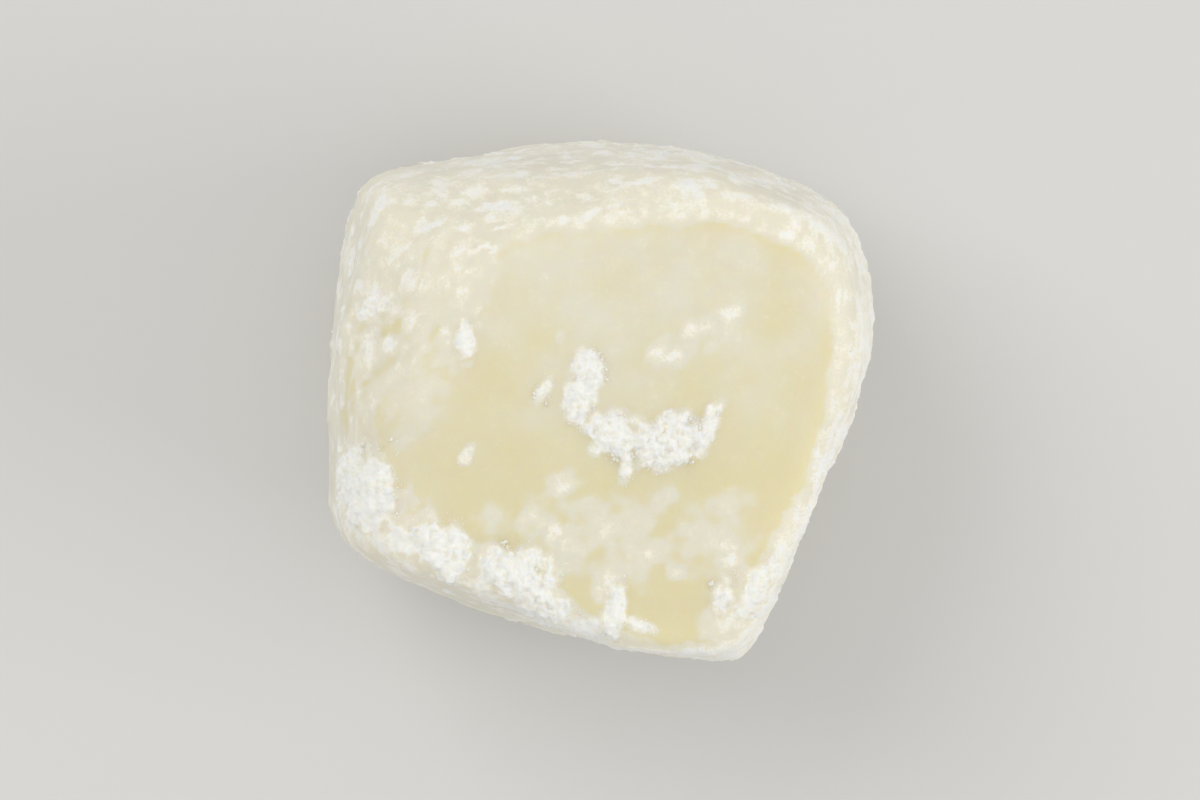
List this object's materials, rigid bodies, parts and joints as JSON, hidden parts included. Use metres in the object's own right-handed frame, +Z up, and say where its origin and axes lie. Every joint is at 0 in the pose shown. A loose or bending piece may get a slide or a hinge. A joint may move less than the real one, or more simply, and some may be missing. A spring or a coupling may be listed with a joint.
{
  "type": "mini mochi",
  "caption": "Bite-size cube of soft rice dough, cut from a rope and dusted with starch: a plain sweet for a bowl, plate or dessert topping.",
  "frame": {"origin": "on the surface the piece lies on, under the middle of its box", "axes": "+Z up, the way the freshly cut face looks; +X along the longest side; +Y towards the widest band of starch"},
  "size_m": [0.0156, 0.015, 0.0132],
  "materials": {
    "starched_dough": "soft translucent ivory rice dough under a patchy coat of matt white starch; the cut face is nearly bare and satin"
  },
  "bodies": {
    "root": {"mochi": "starched_dough"}
  },
  "joints": []
}
